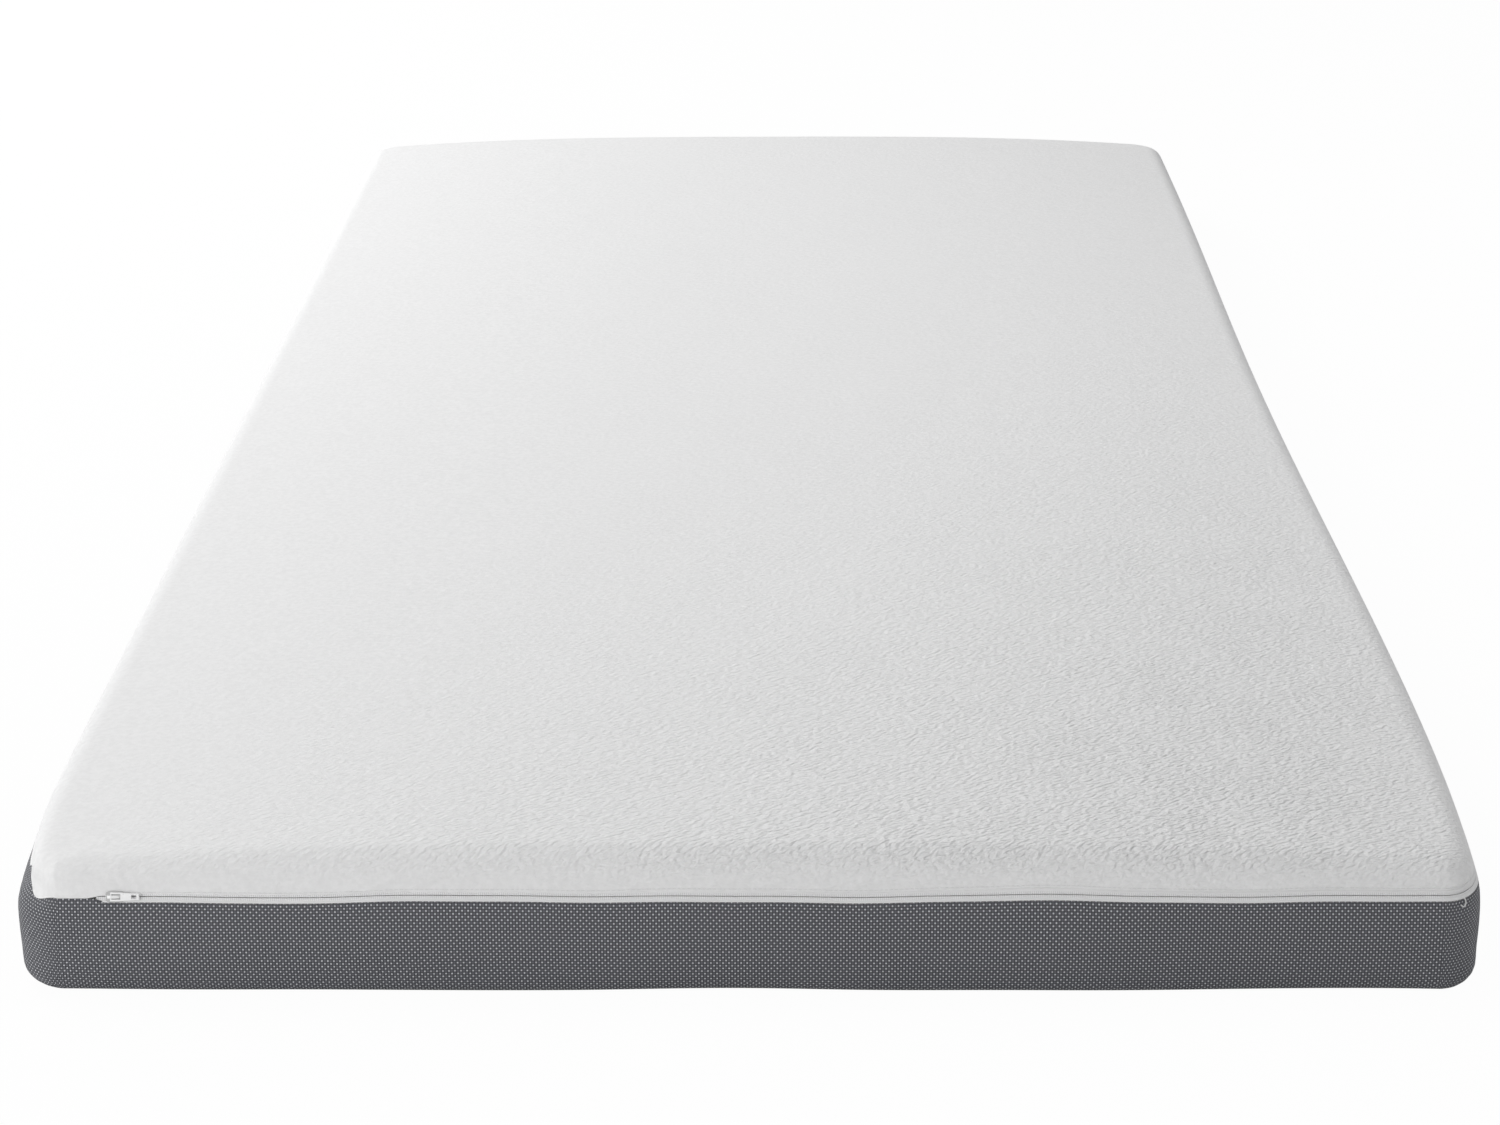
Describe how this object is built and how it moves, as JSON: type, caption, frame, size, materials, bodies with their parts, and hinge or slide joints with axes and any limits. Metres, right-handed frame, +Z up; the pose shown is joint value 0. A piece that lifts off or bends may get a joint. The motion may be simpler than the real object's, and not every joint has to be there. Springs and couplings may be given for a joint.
{
  "type": "pressure relief mattress",
  "caption": "Foam pressure relief mattress in a zipped two-part cover: white stretch-knit top over a grey spacer-mesh border.",
  "frame": {"origin": "middle of the underside, on the surface that the mattress lies on", "axes": "+X across the width, +Y along the length from the foot end to the head end, +Z up"},
  "size_m": [0.9, 2, 0.0923],
  "materials": {
    "white_knit": "matte",
    "grey_mesh": "matte",
    "grey_cloth": "matte",
    "stockinette": "matte",
    "core_foam": "matte",
    "memory_foam": "matte",
    "zip_tape": "matte",
    "nylon": "satin",
    "thread": "matte",
    "enamel": "gloss"
  },
  "bodies": {
    "mattress": {"foam_core": "core_foam", "comfort_layer": "memory_foam", "inner_sleeve": "stockinette", "top_panel": "white_knit", "border_band": "grey_mesh", "bottom_panel": "grey_cloth", "zip_tape_upper": "zip_tape", "zip_tape_lower": "zip_tape", "zip_coil_upper": "nylon", "zip_coil_lower": "nylon", "top_panel_stitching": "thread", "border_stitching": "thread", "zip_start_bartack": "thread", "zip_end_bartack": "thread", "corner_closing_seam": "thread", "bottom_seam_overlock": "thread", "border_join_tape": "grey_cloth", "corner_thread_loop": "thread"},
    "zip_slider": {"slider_body": "enamel", "slider_bridge": "enamel"},
    "zip_pull": {"pull_tab": "enamel"}
  },
  "joints": [
    {"name": "zip_slider_travel", "type": "slide", "parent": "mattress", "child": "zip_slider", "axis": [1, 0, 0], "range_m": [0, 0.76]},
    {"name": "pull_swing", "type": "hinge", "parent": "zip_slider", "child": "zip_pull", "pos_m": [-0.3794, -0.99774, 0.06527], "axis": [0, -0.342, -0.9397], "range_deg": [0, 170]}
  ]
}
